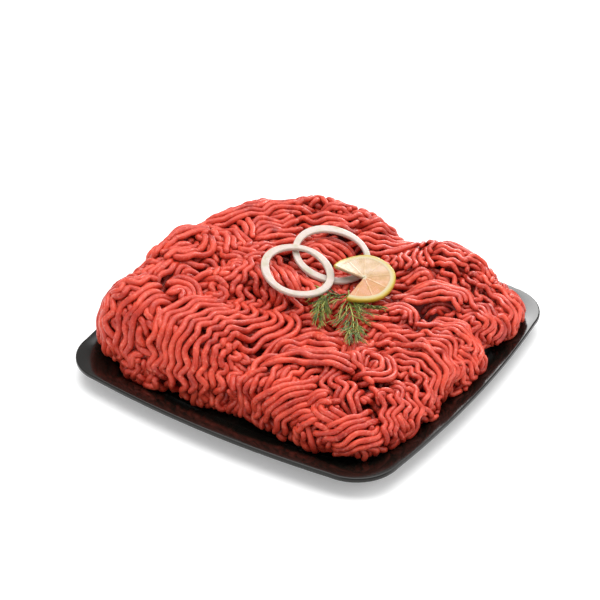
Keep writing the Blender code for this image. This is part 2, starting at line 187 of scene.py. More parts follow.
# Dark hollows between the ribbons: a place, how wide the hollow is and how far it sinks.
HOLLOWS = (
    (0, -82, 12, 13), (-8, -74, 9, 10), (3, -104, 45, 10, 13), (4, -122, 22, 9, 12), (10, -104, 7, 6),
    (50, -94, 9, 10), (68, -113, 8, 8), (70, -93, 8, 7), (60, -43, 9, 8), (104, -88, 8, 7),
    (122, -104, 40, 8, 6), (108, -45, 10, 7), (128, -90, 42, 8, 7), (97, 18, 9, 7), (88, 7, 8, 6),
    (108, 44, 10, 9), (45, 66, 10, 9), (53, 50, 10, 10), (83, 40, 8, 8), (52, 94, 8, 6), (118, 88, 9, 8),
    (-68, -56, 8, 8), (-78, -18, 9, 8), (-98, -18, 8, 8), (-82, -63, 8, 6), (-122, -62, 9, 7),
    (-106, 28, 9, 6), (-70, 62, 8, 6), (-40, 70, 8, 6), (4, 66, 9, 8), (139, -86, 24, 9, 8),
    (130, -62, 46, 8, 7), (142, -14, 24, 9, 10), (128, -28, 50, 9, 8), (135, 4, 46, 8, 7),
    (147, 47, 26, 9, 14), (138, 44, 42, 9, 12), (132, 72, 46, 8, 6), (100, 28, 12, 8), (84, -8, 10, 8),
    (112, -20, 9, 6), (-115, -124, 13, 10, 7), (-66, -118, 40, 8, 6), (-100, -116, 44, 8, 7),
    (-76, -122, 22, 8, 7), (-8, -112, 40, 8, 6), (26, -122, 26, 8, 6), (60, -126, 28, 8, 5),
    (-20, 34, 8, 6), (-46, 14, 8, 6), (30, -60, 8, 6), (90, -56, 8, 6),
)

# Where the heap stands prouder than its solid, or falls short of it: a place, how wide and how far.
SWELLINGS = (
    (-135, -54, 66, 15, -2), (-126, 26, 75, 22, -6), (-113, 60, 70, 9, 6), (-88, 94, 66, 16, 5),
    (18, 119, 56, 12, -3), (54, 123, 57, 18, 6), (90, 122, 57, 13, 4), (126, 117, 41, 12, -5),
    (138, -66, 14, 18, 12), (142, 20, 16, 17, 13), (146, 86, 22, 15, 8), (141, 108, 24, 15, 13),
    (-80, -123, 10, 18, 9), (-127, -100, 62, 13, 6), (2, -124, 10, 12, 3), (86, -124, 12, 14, 3),
    (140, -46, 14, 12, 6), (142, -10, 14, 13, 5), (141, 48, 14, 12, 5), (-83, -125, 8, 10, 4),
    (26, -126, 8, 10, -4),
)


def rng_for(name):
    """A generator of chance values that is always the same for the same name."""
    return np.random.default_rng([MINCE_SEED, *name.encode()])


# ---------------------------------------------------------------- the heap's outline

def welded(node):
    """A CAD node's shape, with its doubled points merged."""
    shape = bmesh.new()
    shape.from_mesh(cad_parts[node].data)
    bmesh.ops.remove_doubles(shape, verts=shape.verts, dist=0.00001)
    return shape


class Outline:
    """The heap's surface in millimetres, and how far the mince rises above it at each of its points."""

    def __init__(self, name):
        shape = welded(name)
        soften = {"factor": 0.3, "use_axis_x": True, "use_axis_y": True, "use_axis_z": True}
        bmesh.ops.smooth_vert(shape, verts=shape.verts, **soften)
        bmesh.ops.smooth_vert(shape, verts=shape.verts, **soften)
        bmesh.ops.subdivide_edges(shape, edges=shape.edges, cuts=1, use_grid_fill=True)
        bmesh.ops.smooth_vert(shape, verts=shape.verts, **soften)
        bmesh.ops.triangulate(shape, faces=shape.faces)
        bmesh.ops.recalc_face_normals(shape, faces=shape.faces)
        self.points = np.array([vertex.co for vertex in shape.verts]) / MM
        self.faces = np.array([[vertex.index for vertex in face.verts] for face in shape.faces])
        shape.free()
        self.tree = BVHTree.FromPolygons(self.points.tolist(), self.faces.tolist())
        self.rises = np.zeros(len(self.points))


def solid_faces(name):
    """A CAD node's faces in millimetres, for finding places on them."""
    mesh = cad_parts[name].data
    points = [tuple(vertex.co / MM) for vertex in mesh.vertices]
    return BVHTree.FromPolygons(points, [tuple(face.vertices) for face in mesh.polygons])


HEAP = Outline("mince_heap")
TRAY = solid_faces("tray")


def snap(points):
    """The nearest place on the heap's outline to each point, and the way out of the heap there."""
    flat = np.asarray(points).reshape(-1, 3)
    places = np.empty_like(flat)
    outs = np.empty_like(flat)
    for index, point in enumerate(flat):
        place, out, _, _ = HEAP.tree.find_nearest(point)
        places[index] = place
        outs[index] = out
    return places.reshape(np.shape(points)), outs.reshape(np.shape(points))


def girth_at(points):
    """How thick a strand is at each point, as a part of the usual: thicker on the left of the heap."""
    return 1.03 - 0.0010 * points[..., 0] - 0.0004 * points[..., 1]


def rise_at(points):
    """How far the mince rises above the outline at each point, from the corners of the nearest face."""
    flat = np.asarray(points).reshape(-1, 3)
    corners = HEAP.faces[[HEAP.tree.find_nearest(point)[2] for point in flat]]
    apart = np.linalg.norm(HEAP.points[corners] - flat[:, None], axis=2)
    weights = 1 / (apart**2 + 0.05)
    rises = (HEAP.rises[corners] * weights).sum(axis=1) / weights.sum(axis=1)
    return rises.reshape(np.shape(points)[:-1])


def resting(points):
    """How high the middle of a strand is at each point where it rests on the tray's floor or flare."""
    heights = []
    for (x, y, _), girth in zip(points, girth_at(points)):
        place, out, _, _ = TRAY.ray_cast((x, y, 60), (0, 0, -1))
        thick = STRAND / 2 * girth
        heights.append(place[2] + thick / max(abs(out[2]), 0.6) - SUNK if place else thick)
    return np.array(heights)


def unit(vectors):
    return vectors / np.maximum(np.linalg.norm(vectors, axis=-1, keepdims=True), 1e-9)


def softened(values, rounds, weight=0.5):
    """Values along a line, each blended with its two neighbours; the ends stay."""
    values = values.copy()
    for _ in range(rounds):
        values[1:-1] += weight * ((values[:-2] + values[2:]) / 2 - values[1:-1])
    return values


def even_steps(points, step):
    lengths = np.concatenate([[0], np.cumsum(np.linalg.norm(np.diff(points, axis=0), axis=1))])
    count = max(4, round(lengths[-1] / step) + 1)
    wanted = np.linspace(0, lengths[-1], count)
    return np.stack([np.interp(wanted, lengths, points[:, axis]) for axis in range(3)], axis=1)


def curve_through(guides, step):
    """An even line on a smooth curve through the places."""
    padded = np.concatenate([2 * guides[:1] - guides[1:2], guides, 2 * guides[-1:] - guides[-2:-1]])
    parts = np.linspace(0, 1, 12, endpoint=False)[:, None]
    line = []
    for before, start, end, after in zip(padded, padded[1:], padded[2:], padded[3:]):
        bend = 2 * before - 5 * start + 4 * end - after
        turn = 3 * start - before - 3 * end + after
        line.append(start + 0.5 * ((end - before) * parts + bend * parts**2 + turn * parts**3))
    return even_steps(np.concatenate([*line, guides[-1:]]), step)


def top_of(x, y):
    place = HEAP.tree.ray_cast((x, y, 200), (0, 0, -1))[0]
    return tuple(place) if place else (x, y, 30)


def over_heap(guides):
    """An even line over the heap, through the guide places."""
    places = np.array([guide if len(guide) == 3 else top_of(*guide) for guide in guides], float)
    line = snap(curve_through(places, 3.0))[0]
    return even_steps(snap(softened(line, 3))[0], STRAND_STEP)


HOLLOW_PLACES = np.array([hollow[:3] if len(hollow) == 5 else top_of(*hollow[:2]) for hollow in HOLLOWS])
HOLLOW_SIZES = np.array([hollow[-2:] for hollow in HOLLOWS])


def ridge(line, level, count):
    """The height of a ribbon's rounded back over each point of the outline, and far below away from it."""
    heights = np.full(len(HEAP.points), -99.0)
    half = count * STRAND * SPACING * girth_at(line.mean(axis=0)) / 2 + 1
    line = line[::2]
    reach = 1.3 * half
    low, high = line.min(0) - reach, line.max(0) + reach
    near = np.nonzero(((HEAP.points > low) & (HEAP.points < high)).all(1))[0]
    apart = np.linalg.norm(HEAP.points[near, None] - line[None], axis=2).min(axis=1)
    back = SWELL - level * RIDGE_STEP - min(RIDGE_MOST, RIDGE_DROP * count) * (apart / half) ** 2.5
    heights[near] = np.where(apart < reach, back, -99.0)
    return heights


def sculpt(plan):
    """Raises the mince into a rounded back along each ribbon, with valleys, hollows and a ragged foot."""
    rises = np.full(len(HEAP.points), -VALLEY)
    for _, level, count, _, _, line in plan:
        rises = np.maximum(rises, ridge(line, level, count))
    lumps = np.array([noise.noise(Vector(point / LUMP_WIDTH)) for point in HEAP.points])
    ragged = np.array([noise.noise(Vector(point / FRINGE_WIDTH)) for point in HEAP.points])
    foot = np.clip(1.5 - HEAP.points[:, 2] / 18, 0, 1)
    apart = np.linalg.norm(HEAP.points[:, None] - HOLLOW_PLACES[None], axis=2)
    sunk = HOLLOW_SIZES[:, 1] * np.exp(-((apart / HOLLOW_SIZES[:, 0]) ** 2))
    swells = np.array(SWELLINGS, float)
    apart = np.linalg.norm(HEAP.points[:, None] - swells[None, :, :3], axis=2)
    raised = (swells[:, 4] * np.exp(-((apart / swells[:, 3]) ** 2))).sum(axis=1)
    rises = rises + LUMP * lumps + FRINGE * ragged * foot + raised - sunk.max(axis=1)
    HEAP.rises = np.maximum(rises, -DEEPEST)


# ---------------------------------------------------------------- laying the strands

class Mince:
    """All the strands laid so far, as points in millimetres, the newest last."""

    def __init__(self):
        self.strands = []
        self.cloud = np.empty((0, 3))

    def within(self, low, high):
        """The strands' points inside a box."""
        return self.cloud[((self.cloud > low) & (self.cloud < high)).all(1)]


def below_and_beside(near, places, outs):
    """How far under each place each near point lies, and the square of how far it lies to its side."""
    apart = near[None] - places[:, None]
    below = -np.einsum("pqk,pk->pq", apart, outs)
    return below, np.einsum("pqk,pqk->pq", apart, apart) - below**2


def blocked_depths(mince, places, outs):
    """For each place, the depths under it at which a strand would run into one laid before."""
    blocked = np.zeros((len(places), DEPTHS + 1))
    low, high = places.min(0) - DEPTHS * DEPTH_STEP, places.max(0) + DEPTHS * DEPTH_STEP
    near = mince.within(low, high)
    if not len(near):
        return np.zeros((len(places), DEPTHS), bool)
    reach = STRAND * 0.97
    for start in range(0, len(places), 64):
        rows = slice(start, start + 64)
        depth, beside = below_and_beside(near, places[rows], outs[rows])
        depth = depth + PROUD
        inside = (depth > -reach) & (depth < DEPTHS * DEPTH_STEP + reach)
        index, other = np.nonzero((beside < reach**2) & inside)
        half = np.sqrt(reach**2 - np.maximum(beside[index, other], 0))
        middle = depth[index, other]
        lowest = np.where(middle < UNDERPASS + PROUD, 0, middle - half)
        first = np.clip(np.ceil(lowest / DEPTH_STEP), 0, DEPTHS).astype(int)
        last = np.clip(np.floor((middle + half) / DEPTH_STEP) + 1, 0, DEPTHS).astype(int)
        np.add.at(blocked, (index + start, first), 1)
        np.add.at(blocked, (index + start, last), -1)
    return np.cumsum(blocked, axis=1)[:, :DEPTHS] > 0.5


def easiest_depths(blocked, wanted):
    """A smooth run of depths along each strand, clear of what is blocked and near the wanted ones."""
    strands, stations, depths = blocked.shape
    levels = np.arange(depths)
    cost = np.abs(levels[None, None] - wanted[..., None] / DEPTH_STEP) + BLOCKED_COST * blocked
    moves = np.arange(-MOST_MOVE, MOST_MOVE + 1)
    best = cost[:, 0].copy()
    came = np.zeros((strands, stations, depths), int)
    for station in range(1, stations):
        options = np.full((len(moves), strands, depths), 1e9)
        for row, move in enumerate(moves):
            source = levels - move
            good = (source >= 0) & (source < depths)
            options[row][:, good] = best[:, source[good]] + MOVE_COST * move * move
        pick = options.argmin(0)
        best = np.take_along_axis(options, pick[None], 0)[0] + cost[:, station]
        came[:, station] = moves[pick]
    chosen = np.empty((strands, stations), int)
    chosen[:, -1] = best.argmin(1)
    rows = np.arange(strands)
    for station in range(stations - 1, 0, -1):
        chosen[:, station - 1] = chosen[:, station] - came[rows, station, chosen[:, station]]
    return chosen * DEPTH_STEP


def smooth_noise(chance, count, length, total):
    """A wandering value for each of count stations, changing about every length of the total, near -1 to 1."""
    knots = max(4, int(total / length) + 4)
    values = chance.normal(0, 1, knots)
    place = np.linspace(0, knots - 1.001, count) if count > 1 else np.zeros(1)
    low = place.astype(int)
    part = place - low
    part = part * part * (3 - 2 * part)
    high = np.minimum(low + 1, knots - 1)
    return values[low] * (1 - part) + values[high] * part


def lay(mince, line, level, count, wave, wavelength, chance):
    """Lays one ribbon of side-by-side strands over the heap along a line, under all that lies above it."""
    places, outs = snap(line)
    outs = unit(softened(outs, 4))
    ways = unit(np.gradient(places, axis=0))
    sides = unit(np.cross(outs, ways))
    stations = len(places)
    girth = girth_at(places)
    wavelength = wavelength * float(girth.mean()) ** 1.5
    run = np.arange(stations) * STRAND_STEP
    slope = 2 * math.pi * wave / wavelength
    pitch = STRAND * SPACING * (1.0 + 0.2 * slope * slope) * girth
    stretch = 1 + 0.25 * smooth_noise(chance, stations, wavelength, run[-1])
    phase = np.cumsum(stretch) * STRAND_STEP * 2 * math.pi / wavelength + chance.uniform(0, 2 * math.pi)
    strength = np.clip(1 + 0.4 * smooth_noise(chance, stations, 1.5 * wavelength, run[-1]), 0.2, 1.4)
    drift = 1.0 * smooth_noise(chance, stations, 40, run[-1])
    lean = chance.normal(0, 0.2)
    rows, lags = [], []
    for strand in range(count):
        place = strand - (count - 1) / 2
        lags.append(lean * place + 0.4 * chance.normal())
        own = wave * strength * (1 + 0.25 * chance.normal())
        swing = own * np.sin(phase + lags[-1]) + drift + 0.9 * smooth_noise(chance, stations, 12, run[-1])
        rows.append(places + sides * (place * pitch + swing)[:, None])
    feet, ups = snap(np.array(rows))
    rises = rise_at(feet)
    ups = unit(ups + 0.5 * outs[None])
    trims = chance.integers(0, max(1, min(7, stations // 5)), (count, 2))
    ends = np.arange(stations) * STRAND_STEP
    wanted = np.empty((count, stations))
    for strand, (first, last) in enumerate(trims):
        loose_ends = np.where(chance.uniform(0, 1, 2) < LOOSE_ENDS, 20.0, 0.0)
        from_first = ends - first * STRAND_STEP + loose_ends[0]
        from_last = (stations - 1 - last) * STRAND_STEP - ends + loose_ends[1]
        from_ends = np.minimum(from_first, from_last)
        fade = np.clip(1 - from_ends / DIVE_LENGTH, 0, 1)
        rise = rises[strand] + CORRUGATION * wave * strength * np.cos(phase + lags[strand])
        rise = rise - 0.8 * smooth_noise(chance, stations, 12, run[-1])
        sunk = level * LEVEL_DROP + STRAND / 2 - rise
        wanted[strand] = np.maximum(sunk, STRAND / 2 - PROUD) + DIVE * fade * fade
    blocked = blocked_depths(mince, feet.reshape(-1, 3), ups.reshape(-1, 3)).reshape(count, stations, DEPTHS)
    depths = easiest_depths(blocked, wanted + PROUD) - PROUD
    for strand, (first, last) in enumerate(trims):
        depth = softened(depths[strand], 4)
        points = (feet[strand] - ups[strand] * depth[:, None])[first : stations - last]
        mince.strands.append(points)
        mince.cloud = np.concatenate([mince.cloud, points])


def wander(start, heading, length, turn, chance):
    """A line over the heap from a place and a heading, bending a little as it goes."""
    place, out = snap(start[None])
    line = [place[0]]
    way = heading
    bend = turn
    for _ in range(int(length / 3)):
        way = unit(way - out[0] * (way @ out[0]))
        side = np.cross(out[0], way)
        bend = 0.9 * bend + 0.1 * turn + chance.normal(0, 0.02)
        way = unit(way + side * bend)
        place, out = snap((line[-1] + way * 3)[None])
        line.append(place[0])
    return even_steps(softened(np.array(line), 4), STRAND_STEP)


def stray_line(place, out, length, chance):
    """A wandering line through a place on the heap, running down it where it is steep."""
    down = unit(np.array([0, 0, -1.0]) + out * out[2] + 1e-6)
    free = unit(np.cross(out, chance.normal(0, 1, 3)))
    heading = unit(free + 4.0 * (1 - abs(out[2])) * down * chance.choice((-1, 1)))
    turn = chance.normal(0, 0.05)
    there = wander(place, heading, length * 0.5, turn, chance)
    back = wander(place, -heading, length * 0.5, -turn, chance)
    return np.concatenate([back[::-1], there[1:]])


def surface_samples(count, chance):
    """Places spread evenly over the part of the heap that isn't against the tray."""
    corners = HEAP.points[HEAP.faces]
    crossed = np.cross(corners[:, 1] - corners[:, 0], corners[:, 2] - corners[:, 0])
    areas = np.linalg.norm(crossed, axis=1)
    outs = unit(crossed)
    areas = np.where((outs[:, 2] > -0.6) & (corners[:, :, 2].mean(1) > 9), areas, 0)
    picks = chance.choice(len(areas), count, p=areas / areas.sum())
    u, v = chance.uniform(0, 1, (2, count))
    over = u + v > 1
    u, v = np.where(over, 1 - u, u), np.where(over, 1 - v, v)
    first, second, third = corners[picks].swapaxes(0, 1)
    return first + u[:, None] * (second - first) + v[:, None] * (third - first), outs[picks]


def planned_ribbons():
    """The listed ribbons, then wandering ones over all that they leave bare."""
    plan = []
    for name, (level, count, wave, wavelength, guides) in RIBBONS.items():
        plan.append((name, level, count, wave, wavelength, over_heap(guides)))
    chance = rng_for("the rest of the heap")
    samples, outs = surface_samples(3000, chance)
    bare = np.ones(len(samples), bool)
    row = 0
    while bare.any():
        if row == len(plan):
            at = chance.choice(np.nonzero(bare)[0])
            bare[at] = False
            line = stray_line(samples[at], outs[at], chance.uniform(45, 95), chance)
            count = int(chance.integers(4, 9))
            level = chance.uniform(-0.4, 1.0)
            wave, wavelength = chance.uniform(1.2, 2.8), chance.uniform(14, 24)
            plan.append((f"ribbon {row}", level, count, wave, wavelength, line))
        _, _, count, _, _, line = plan[row]
        for start in range(0, len(samples), 500):
            rows = slice(start, start + 500)
            apart = np.linalg.norm(samples[rows, None] - line[None, ::2], axis=2).min(axis=1)
            bare[rows] &= apart > 0.8 * count * STRAND * SPACING / 2
        row += 1
    return plan


def uncovered(mince, samples, outs, depth):
    """Which samples have no strand within reach below them, down to a depth."""
    bare = np.ones(len(samples), bool)
    for start in range(0, len(samples), 100):
        rows = slice(start, start + 100)
        low, high = samples[rows].min(0) - COVER_MARGIN, samples[rows].max(0) + COVER_MARGIN
        near = mince.within(low, high)
        if not len(near):
            continue
        down, beside = below_and_beside(near, samples[rows], outs[rows])
        bare[rows] = ~((beside < COVER_REACH**2) & (down < depth) & (down > -COVER_ABOVE)).any(1)
    return bare


def fill(mince, chance, depth, levels, counts, lengths):
    """Lays ribbons over what is still bare, down to a depth, until it is covered."""
    samples, outs = surface_samples(2600, chance)
    order = np.lexsort((samples[:, 0] // 30, samples[:, 1] // 30))
    samples, outs = samples[order], outs[order]
    samples = samples + outs * rise_at(samples)[:, None]
    bare = uncovered(mince, samples, outs, depth)
    laid = 0
    while bare.sum() > len(bare) * 0.02 and laid < MOST_FILLED:
        at = chance.choice(np.nonzero(bare)[0])
        length = chance.uniform(*lengths)
        line = stray_line(samples[at], outs[at], length, chance)
        level, count = chance.choice(levels), int(chance.integers(*counts))
        wave, wavelength = chance.uniform(1.2, 2.8), chance.uniform(15, 24)
        lay(mince, line, level, count, wave, wavelength, chance)
        near = np.linalg.norm(samples - samples[at], axis=1) < length
        bare[near] = uncovered(mince, samples[near], outs[near], depth)
        bare[at] = False
        laid += 1


# ---------------------------------------------------------------- settling the strands

def close_pairs(points, reach):
    """Index pairs of points nearer to each other than reach."""
    cells = np.floor((points - points.min(0)) / reach).astype(np.int64) + 1
    size = cells.max(0) + 2
    keys = (cells[:, 0] * size[1] + cells[:, 1]) * size[2] + cells[:, 2]
    order = np.argsort(keys, kind="stable")
    ordered = keys[order]
    pairs = []
    steps = (-1, 0, 1)
    for offset in [(x * size[1] + y) * size[2] + z for x in steps for y in steps for z in steps]:
        if offset < 0:
            continue
        low = np.searchsorted(ordered, ordered + offset, "left")
        high = np.searchsorted(ordered, ordered + offset, "right")
        if offset == 0:
            low = np.arange(len(ordered)) + 1
        counts = np.maximum(high - low, 0)
        first = np.repeat(np.arange(len(ordered)), counts)
        starts = np.repeat(low - np.concatenate([[0], np.cumsum(counts)[:-1]]), counts)
        second = starts + np.arange(len(first))
        one, two = order[first], order[second]
        gap = points[one] - points[two]
        close = np.einsum("ij,ij->i", gap, gap) < reach * reach
        pairs.append(np.stack([one[close], two[close]]))
    return np.concatenate(pairs, axis=1)


def spread(count, index, moves):
    return np.stack([np.bincount(index, moves[:, axis], count) for axis in range(3)], axis=1)


def settle(mince):
    """Lets the strands push each other apart to one strand's width, keeping their waves and the outline."""
    sizes = [len(strand) for strand in mince.strands]
    points = np.concatenate(mince.strands)
    total = len(points)
    girth = girth_at(points)
    owner = np.repeat(np.arange(len(sizes)), sizes)
    home = points.copy()
    inner = np.zeros(total, bool)
    inner[1:-1] = (owner[:-2] == owner[2:]) & (owner[:-2] == owner[1:-1])
    middle = np.nonzero(inner)[0]
    bend = (points[middle - 1] + points[middle + 1]) / 2 - points[middle]
    links = np.nonzero(owner[:-1] == owner[1:])[0]
    rest = np.linalg.norm(points[links + 1] - points[links], axis=1)
    for turn in range(SETTLE_ROUNDS):
        if turn % 12 == 0:
            feet, outs = snap(points)
            allowed = LIFT + rise_at(feet)
            allowed = np.where(feet[:, 2] < 8, np.minimum(allowed, 0), allowed)
            lowest = resting(points)
        if turn % 6 == 0:
            one, two = close_pairs(points, STRAND * PAIR_REACH)
            apart = (owner[one] != owner[two]) | (np.abs(one - two) > 3)
            one, two = one[apart], two[apart]
        gap = points[one] - points[two]
        distance = np.maximum(np.linalg.norm(gap, axis=1), 1e-6)
        lack = np.maximum(STRAND * CLOSENESS * (girth[one] + girth[two]) - distance, 0)
        hit = lack > 0
        push = gap[hit] / distance[hit, None] * (lack[hit, None] * 0.5)
        move = spread(total, one[hit], push) - spread(total, two[hit], push)
        touches = np.bincount(one[hit], minlength=total) + np.bincount(two[hit], minlength=total)
        points += move / np.maximum(touches, 1)[:, None] * PUSH
        points[middle] += STIFFNESS * ((points[middle - 1] + points[middle + 1]) / 2 - points[middle] - bend)
        span = points[links + 1] - points[links]
        length = np.maximum(np.linalg.norm(span, axis=1), 1e-6)
        pull = span * ((length - rest) / length * PULL)[:, None]
        points += spread(total, links, pull) - spread(total, links + 1, pull)
        points += HOMING * (home - points)
        outside = np.einsum("ij,ij->i", points - feet, outs) + STRAND / 2
        over = np.maximum(outside - allowed, 0)
        points -= outs * over[:, None]
        points[:, 2] = np.clip(points[:, 2], lowest, HIGHEST)
    points[:, 2] = np.maximum(points[:, 2], resting(points))
    cuts = np.cumsum(sizes)[:-1]
    mince.strands = np.split(points, cuts)


# ---------------------------------------------------------------- meshes

def in_scene(name, data):
    """A new object of the data, linked into the scene."""
    obj = bpy.data.objects.new(name, data)
    bpy.context.scene.collection.objects.link(obj)
    return obj


def smooth(mesh):
    mesh.polygons.foreach_set("use_smooth", np.ones(len(mesh.polygons), bool))


def keep(mesh, name, values):
    """Keeps one value a point on the mesh, for its material to read."""
    kept = mesh.attributes.new(name, "FLOAT", "POINT")
    kept.data.foreach_set("value", np.asarray(values, np.float32))


def placed(name, mesh, finish):
    """An object of the mesh in the scene, smooth all over, with its finish."""
    smooth(mesh)
    mesh.materials.append(finish)
    return in_scene(name, mesh)


def tubes(name, lines, radii, tones, sides, finish):
    """One mesh of round strands with rounded ends, with the tone at each place along them kept on it."""
    points, faces, shades = [], [], []
    base = 0
    turns = np.linspace(0, 2 * math.pi, sides, endpoint=False)
    circle = np.stack([np.cos(turns), np.sin(turns)], axis=1)
    for line, radius, own in zip(lines, radii, tones):
        way = unit(np.gradient(line, axis=0))
        across = np.cross(way[0], (0.3, 0.2, 0.93))
        frames = np.empty((len(line), 3))
        for station in range(len(line)):
            across = across - way[station] * (across @ way[station])
            across = across / max(np.linalg.norm(across), 1e-6)
            frames[station] = across
        up = np.cross(way, frames)
        head, tail = line[0] - way[0] * radius[0] * END_REACH, line[-1] + way[-1] * radius[-1] * END_REACH
        middles = np.concatenate([[head], line, [tail]])
        sizes = np.concatenate([[radius[0] * END_SIZE], radius, [radius[-1] * END_SIZE]])
        sizes[1] *= NECK_SIZE
        sizes[-2] *= NECK_SIZE
        frames = np.concatenate([frames[:1], frames, frames[-1:]])
        up = np.concatenate([up[:1], up, up[-1:]])
        rings = middles[:, None] + sizes[:, None, None] * (
            circle[None, :, :1] * frames[:, None] + circle[None, :, 1:] * up[:, None]
        )
        count = len(middles)
        head, tail = line[0] - way[0] * radius[0] * TIP_REACH, line[-1] + way[-1] * radius[-1] * TIP_REACH
        points.append(rings.reshape(-1, 3))
        points.append(np.array([head, tail]))
        index = base + np.arange(count * sides).reshape(count, sides)
        after = np.roll(index, -1, axis=1)
        faces.append(np.stack([index[:-1], after[:-1], after[1:], index[1:]], axis=2).reshape(-1, 4))
        first, last = base + count * sides, base + count * sides + 1
        faces.append(np.stack([after[0], index[0], np.full(sides, first), np.full(sides, -1)], axis=1))
        faces.append(np.stack([index[-1], after[-1], np.full(sides, last), np.full(sides, -1)], axis=1))
        own = np.concatenate([own[:1], own, own[-1:]])
        shades.append(np.repeat(own, sides))
        shades.append(own[[0, -1]])
        base += count * sides + 2
    corners = np.concatenate(faces)
    sizes = np.where(corners[:, 3] < 0, 3, 4)
    loops = corners.ravel()
    loops = loops[loops >= 0]
    places = np.concatenate(points) * MM
    mesh = bpy.data.meshes.new(name)
    mesh.vertices.add(len(places))
    mesh.vertices.foreach_set("co", places.ravel())
    mesh.loops.add(len(loops))
    mesh.loops.foreach_set("vertex_index", loops.astype(np.int32))
    mesh.polygons.add(len(sizes))
    starts = np.concatenate([[0], np.cumsum(sizes)[:-1]])
    mesh.polygons.foreach_set("loop_start", starts.astype(np.int32))
    mesh.polygons.foreach_set("loop_total", sizes.astype(np.int32))
    mesh.update(calc_edges=True)
    mesh.validate()
    keep(mesh, "tone", np.concatenate(shades))
    return placed(name, mesh, finish)


def made_solid(obj):
    """The object with its modifiers applied."""
    graph = bpy.context.evaluated_depsgraph_get()
    mesh = bpy.data.meshes.new_from_object(obj.evaluated_get(graph))
    obj.modifiers.clear()
    obj.data = mesh
    smooth(mesh)
    return obj


def facing_out(obj):
    """Turns every face of the object outwards."""
    shape = bmesh.new()
    shape.from_mesh(obj.data)
    bmesh.ops.recalc_face_normals(shape, faces=shape.faces)
    shape.to_mesh(obj.data)
    shape.free()


def node_points(name):
    """A CAD node's points in millimetres."""
    return np.array([vertex.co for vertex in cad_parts[name].data.vertices]) / MM


# ---------------------------------------------------------------- materials

def tone(hex_colour):
    """An sRGB hex colour as linear red, green, blue and alpha."""
    linear = []
    for start in (1, 3, 5):
        value = int(hex_colour[start : start + 2], 16) / 255
        linear.append(value / 12.92 if value <= 0.04045 else ((value + 0.055) / 1.055) ** 2.4)
    return (*linear, 1.0)


def set_inputs(tree, node, inputs):
    """Sets or links a node's inputs."""
    for key, value in inputs.items():
        if isinstance(value, bpy.types.NodeSocket):
            tree.links.new(value, node.inputs[key])
        else:
            node.inputs[key].default_value = value


def add_node(tree, kind, settings=None, inputs=None):
    """Adds a node, sets its properties, and sets or links its inputs."""
    node = tree.nodes.new(kind)
    for key, value in (settings or {}).items():
        setattr(node, key, value)
    set_inputs(tree, node, inputs or {})
    return node


def new_material(name):
    made = bpy.data.materials.new(name)
    made.use_nodes = True
    return made, made.node_tree, made.node_tree.nodes["Principled BSDF"]


def set_stops(ramp, stops):
    """Gives a colour ramp its (place, hex colour) stops."""
    while len(ramp.color_ramp.elements) < len(stops):
        ramp.color_ramp.elements.new(0.5)
    for element, (place, colour) in zip(ramp.color_ramp.elements, stops):
        element.position = place
        element.color = tone(colour)


def raw_mince():
    """Raw beef and pork mince, pressed through a plate: moist, a little see-through, paler in its fat."""
    made, tree, shader = new_material("raw_minced_meat_pressed")
    place = add_node(tree, "ShaderNodeNewGeometry").outputs["Position"]
    # The tone kept on the strands: each strand's own random tone, lowered as painted shade where it lies deep.
    own = add_node(tree, "ShaderNodeAttribute", {"attribute_name": "tone"}).outputs["Fac"]
    patches = add_node(
        tree, "ShaderNodeTexNoise", {},
        {"Vector": place, "Scale": 1 / (14 * MM), "Detail": 3.0},
    )
    grain = add_node(
        tree, "ShaderNodeTexNoise", {},
        {"Vector": place, "Scale": 1 / (1.6 * MM), "Detail": 4.0},
    )
    mixed = add_node(tree, "ShaderNodeMath", {"operation": "ADD"}, {0: patches.outputs["Fac"], 1: own})
    mixed = add_node(
        tree, "ShaderNodeMath", {"operation": "MULTIPLY_ADD"},
        {0: grain.outputs["Fac"], 1: 0.35, 2: mixed.outputs[0]},
    )
    # The ramp's darkest stops carry the painted shade of the deep strands.
    ramp = add_node(tree, "ShaderNodeValToRGB", {}, {"Fac": mixed.outputs[0]})
    set_stops(ramp, [(0.0, "#5c0f0a"), (0.25, "#8c1c12"), (0.5, "#b13020"), (1.0, "#db513a")])
    specks = add_node(
        tree, "ShaderNodeTexNoise", {},
        {"Vector": place, "Scale": 1 / (2.4 * MM), "Detail": 2.0},
    )
    fat = add_node(
        tree, "ShaderNodeMapRange", {},
        {"Value": specks.outputs["Fac"], "From Min": 0.56, "From Max": 0.7, "To Max": 0.45},
    )
    mince = add_node(
        tree, "ShaderNodeMix", {"data_type": "RGBA"},
        {0: fat.outputs["Result"], 6: ramp.outputs["Color"], 7: tone("#e6826b")},
    )
    shine = add_node(
        tree, "ShaderNodeMapRange", {},
        {"Value": grain.outputs["Fac"], "To Min": 0.26, "To Max": 0.5},
    )
    bump = add_node(
        tree, "ShaderNodeBump", {},
        {"Height": grain.outputs["Fac"], "Strength": 0.25, "Distance": 0.4 * MM},
    )
    set_inputs(tree, shader, {
        "Base Color": mince.outputs[2],
        "Roughness": shine.outputs["Result"],
        "IOR": 1.42,
        "Subsurface Weight": 0.25,
        "Subsurface Radius": (1.0, 0.3, 0.2),
        "Subsurface Scale": 2.5 * MM,
        "Normal": bump.outputs["Normal"],
    })
    return made


def painted_shade_core():
    """The same meat packed tight inside the heap, seen only at the bottom of gaps, painted dark red as shade.
    """
    made, tree, shader = new_material("meat_core_painted_shade")
    # Painted shade: a dark red, darker than the meat's own colour, for the bottom of the gaps.
    set_inputs(tree, shader, {
        "Base Color": tone("#7a1a16"),
        "Roughness": 0.6,
    })
    return made


